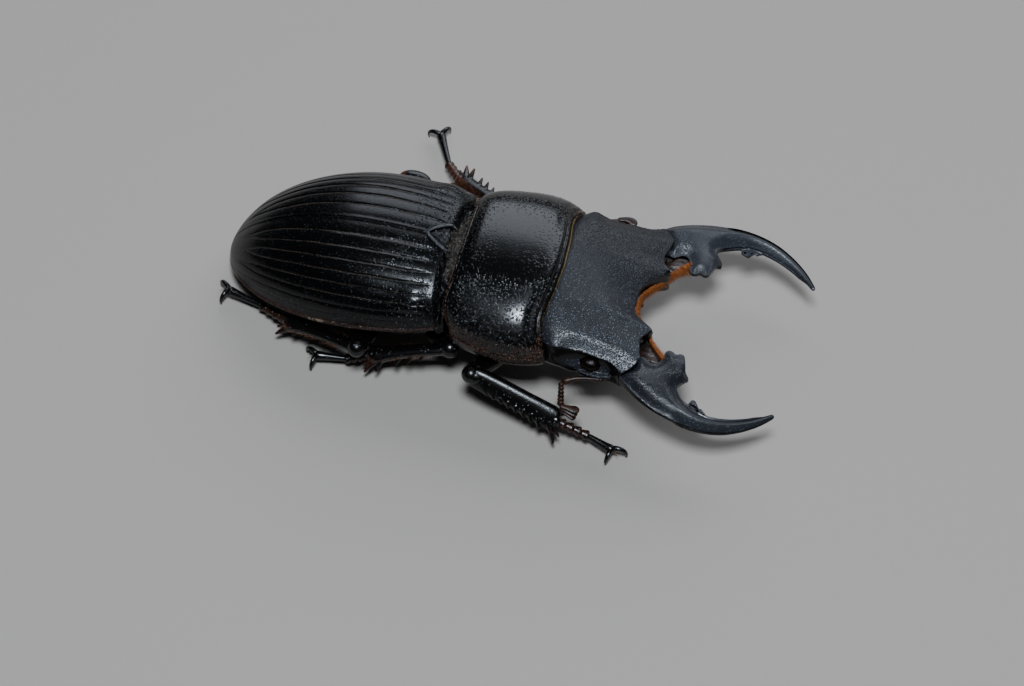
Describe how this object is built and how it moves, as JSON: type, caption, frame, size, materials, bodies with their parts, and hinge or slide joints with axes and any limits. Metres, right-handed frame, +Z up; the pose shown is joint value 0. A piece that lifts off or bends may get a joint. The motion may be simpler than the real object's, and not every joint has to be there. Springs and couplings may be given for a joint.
{
  "type": "stag beetle model",
  "caption": "Life-size still model of a large-jawed male stag beetle, glossy black with grooved wing cases, a granular head, toothed sickle jaws and spread spiny legs.",
  "frame": {"origin": "middle of the underside of the box round the whole beetle, on the floor it stands on", "axes": "+X towards the head and jaws, +Y towards the beetle's left, +Z up"},
  "size_m": [0.0526, 0.0328, 0.011],
  "materials": {
    "wing_case": "glossy black chitin, grooved, dusty in the grooves",
    "cuticle_gloss": "glossy black chitin with fine pits",
    "cuticle_matte": "fine-grained dull black chitin",
    "cuticle_dusty": "black chitin under grey-brown grit",
    "leg": "glossy black-brown chitin with rust-coloured bristles",
    "cuticle_brown": "glossy dark red-brown chitin",
    "hair_orange": "dense orange bristles",
    "eye": "polished black, finely faceted"
  },
  "bodies": {
    "root": {"abdomen": "cuticle_gloss", "antenna_left": "cuticle_brown", "antenna_right": "cuticle_brown", "coxa_fore_left": "cuticle_gloss", "coxa_fore_right": "cuticle_gloss", "coxa_hind_left": "cuticle_gloss", "coxa_hind_right": "cuticle_gloss", "coxa_mid_left": "cuticle_gloss", "coxa_mid_right": "cuticle_gloss", "elytron_left": "wing_case", "elytron_right": "wing_case", "eye_left": "eye", "eye_right": "eye", "femur_fore_left": "cuticle_gloss", "femur_fore_right": "cuticle_gloss", "femur_hind_left": "cuticle_gloss", "femur_hind_right": "cuticle_gloss", "femur_mid_left": "cuticle_gloss", "femur_mid_right": "cuticle_gloss", "head": "cuticle_matte", "hind_body": "cuticle_gloss", "labial_palp_left": "cuticle_brown", "labial_palp_right": "cuticle_brown", "labral_fringe": "hair_orange", "mandible_left": "cuticle_matte", "mandible_right": "cuticle_matte", "maxillary_palp_left": "cuticle_brown", "maxillary_palp_right": "cuticle_brown", "mentum": "cuticle_gloss", "pronotum": "cuticle_gloss", "scutellum": "cuticle_dusty", "tarsus_fore_left": "cuticle_brown", "tarsus_fore_right": "cuticle_brown", "tarsus_hind_left": "cuticle_brown", "tarsus_hind_right": "cuticle_brown", "tarsus_mid_left": "cuticle_brown", "tarsus_mid_right": "cuticle_brown", "tibia_fore_left": "leg", "tibia_fore_right": "leg", "tibia_hind_left": "leg", "tibia_hind_right": "leg", "tibia_mid_left": "leg", "tibia_mid_right": "leg"}
  },
  "joints": []
}
